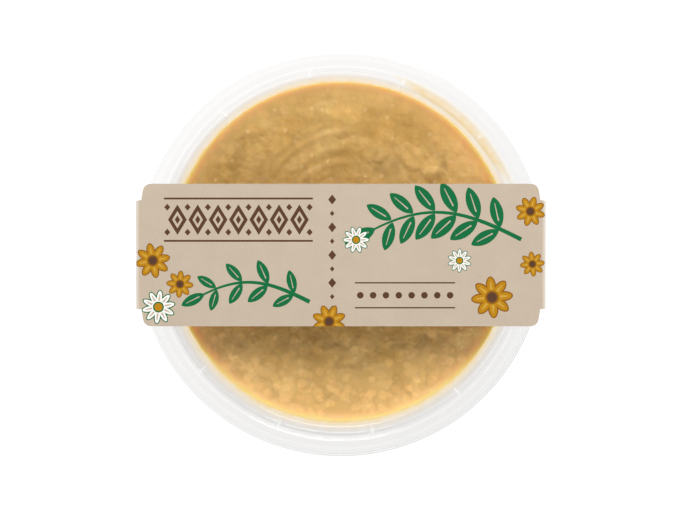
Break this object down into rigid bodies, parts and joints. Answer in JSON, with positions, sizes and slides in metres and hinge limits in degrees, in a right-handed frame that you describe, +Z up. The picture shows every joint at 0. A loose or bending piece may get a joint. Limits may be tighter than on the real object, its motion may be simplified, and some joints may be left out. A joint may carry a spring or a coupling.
{
  "type": "tub of hummus",
  "caption": "Shut round tub of hummus: clear tapered tub, clear press-fit lid and a printed card band folded round the whole pack.",
  "frame": {"origin": "under the middle of the tub, at the underside of the card band's bottom panel, on the surface that the pack stands on", "axes": "+Z up through the middle of the lid; +X along the card band, to the right as the print is read; +Y across the band, towards the top of the print"},
  "size_m": [0.1182, 0.1172, 0.0417],
  "materials": {
    "clear_tub": "clear thermoformed plastic, smooth and slightly milky",
    "clear_lid": "clear thermoformed plastic, glossy",
    "hummus": "moist chickpea paste, semi-matt, lumpy and swirled",
    "printed_card": "uncoated beige card, matt, printed in green, brown and ochre"
  },
  "bodies": {
    "root": {"tub": "clear_tub", "lid": "clear_lid", "hummus": "hummus", "card_band": "printed_card"}
  },
  "joints": []
}
